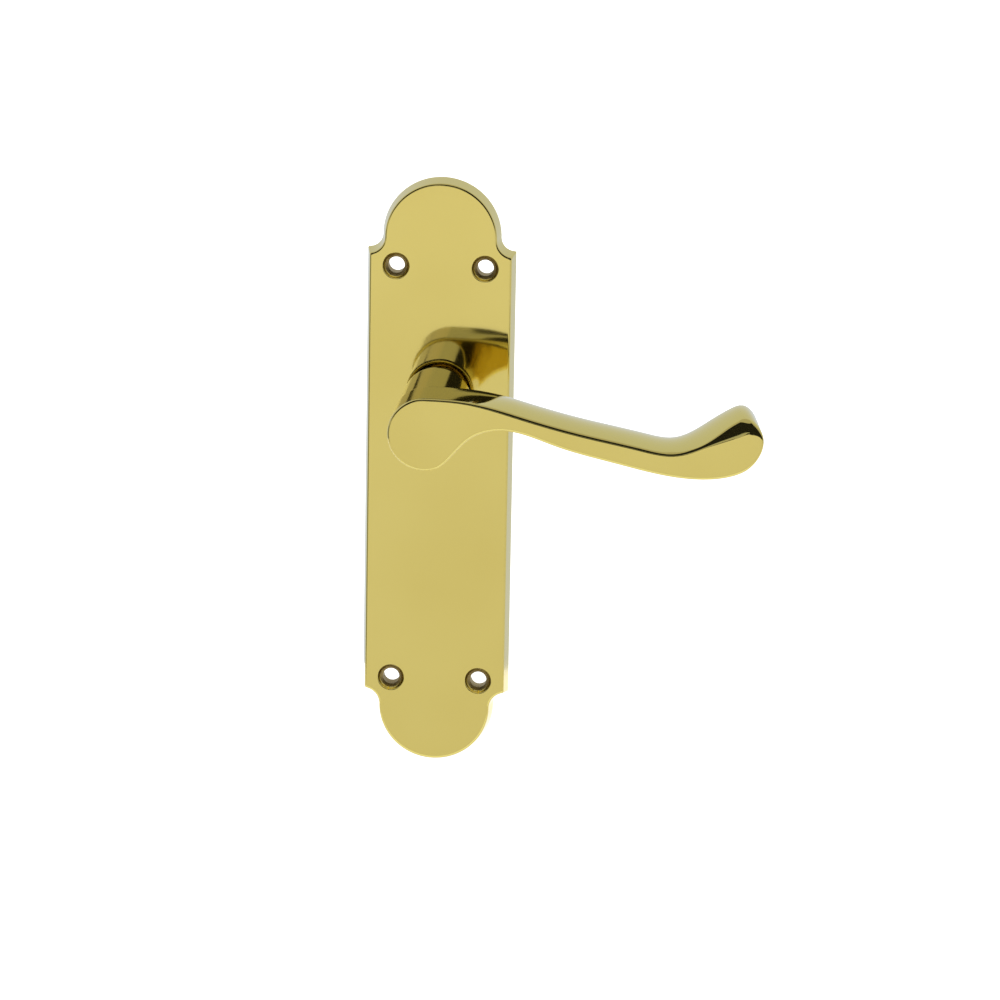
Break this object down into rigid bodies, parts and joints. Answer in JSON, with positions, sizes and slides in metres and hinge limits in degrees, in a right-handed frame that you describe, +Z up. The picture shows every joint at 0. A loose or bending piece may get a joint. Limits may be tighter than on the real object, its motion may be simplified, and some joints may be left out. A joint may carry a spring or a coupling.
{
  "type": "lever door handle",
  "caption": "Polished brass scroll lever handle on a shaped latch backplate, with a sprung lever, a square spindle and countersunk screw holes.",
  "frame": {"origin": "on the spindle axis, in the plane of the backplate's door side", "axes": "+X along the lever towards its scroll, +Z up, +Y into the door; the handle's front faces -Y"},
  "size_m": [0.1103, 0.1113, 0.165],
  "materials": {
    "polished_brass": "polished and lacquered",
    "acetal": "moulded",
    "zinc_plated_steel": "bright zinc plated",
    "spring_steel": "oiled spring steel"
  },
  "bodies": {
    "plate": {"backplate": "polished_brass", "hub_bush": "acetal", "rest_stop_pin": "zinc_plated_steel", "limit_stop_pin": "zinc_plated_steel", "spring_anchor_pin": "zinc_plated_steel", "return_spring": "spring_steel"},
    "handle": {"lever": "polished_brass", "drive_cam": "zinc_plated_steel", "disc_spring_washer": "spring_steel", "circlip": "spring_steel"},
    "spindle": {"spindle": "zinc_plated_steel"}
  },
  "joints": [
    {"name": "lever_turn", "type": "hinge", "parent": "plate", "child": "handle", "pos_m": [0, 0, 0], "axis": [0, 1, 0], "range_deg": [0, 45], "stiffness_Nm_per_rad": 0.6, "springref_deg": -20.05, "deforming": ["return_spring"]},
    {"name": "spindle_slide", "type": "slide", "parent": "handle", "child": "spindle", "axis": [0, 1, 0], "range_m": [0, 0.02]}
  ]
}
